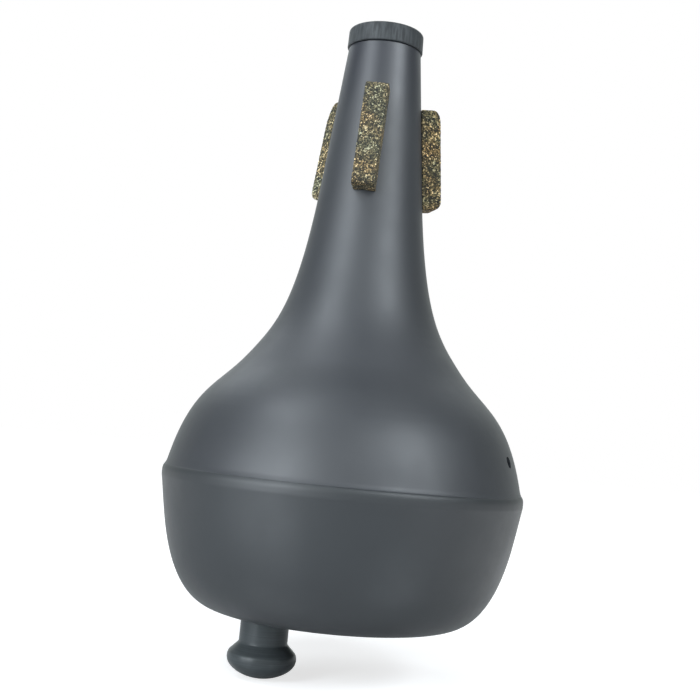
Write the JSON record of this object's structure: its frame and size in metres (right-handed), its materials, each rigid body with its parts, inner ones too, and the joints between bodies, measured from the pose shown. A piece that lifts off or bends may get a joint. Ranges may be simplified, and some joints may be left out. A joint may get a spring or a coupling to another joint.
{
  "type": "bass trombone mute",
  "caption": "Bass trombone practice mute: charcoal moulded shell in two parts, capped neck with cork pads and a turned pull knob under the base.",
  "frame": {"origin": "centre of the flat base of the lower bowl, on the mute's axis", "axes": "+Z along the mute's axis from the base towards the small end, -Y towards the front cork pad, +X to the right of someone who looks at that pad"},
  "size_m": [0.176, 0.176, 0.3191],
  "materials": {
    "shell_plastic": "satin charcoal grey",
    "bowl_plastic": "satin charcoal grey",
    "cap_plastic": "matte charcoal grey",
    "tube_plastic": "matte black",
    "cork": "black rubber cork with gold-brown flecks, sanded",
    "knob_plastic": "semi-gloss near-black, turned",
    "hardware_steel": "zinc plated"
  },
  "bodies": {
    "root": {"upper_shell": "shell_plastic", "lower_bowl": "bowl_plastic", "end_cap": "cap_plastic", "inner_tube": "tube_plastic", "cork_pad_front": "cork", "cork_pad_left": "cork", "cork_pad_right": "cork", "pull_knob": "knob_plastic", "knob_screw": "hardware_steel", "knob_washer": "hardware_steel"}
  },
  "joints": []
}
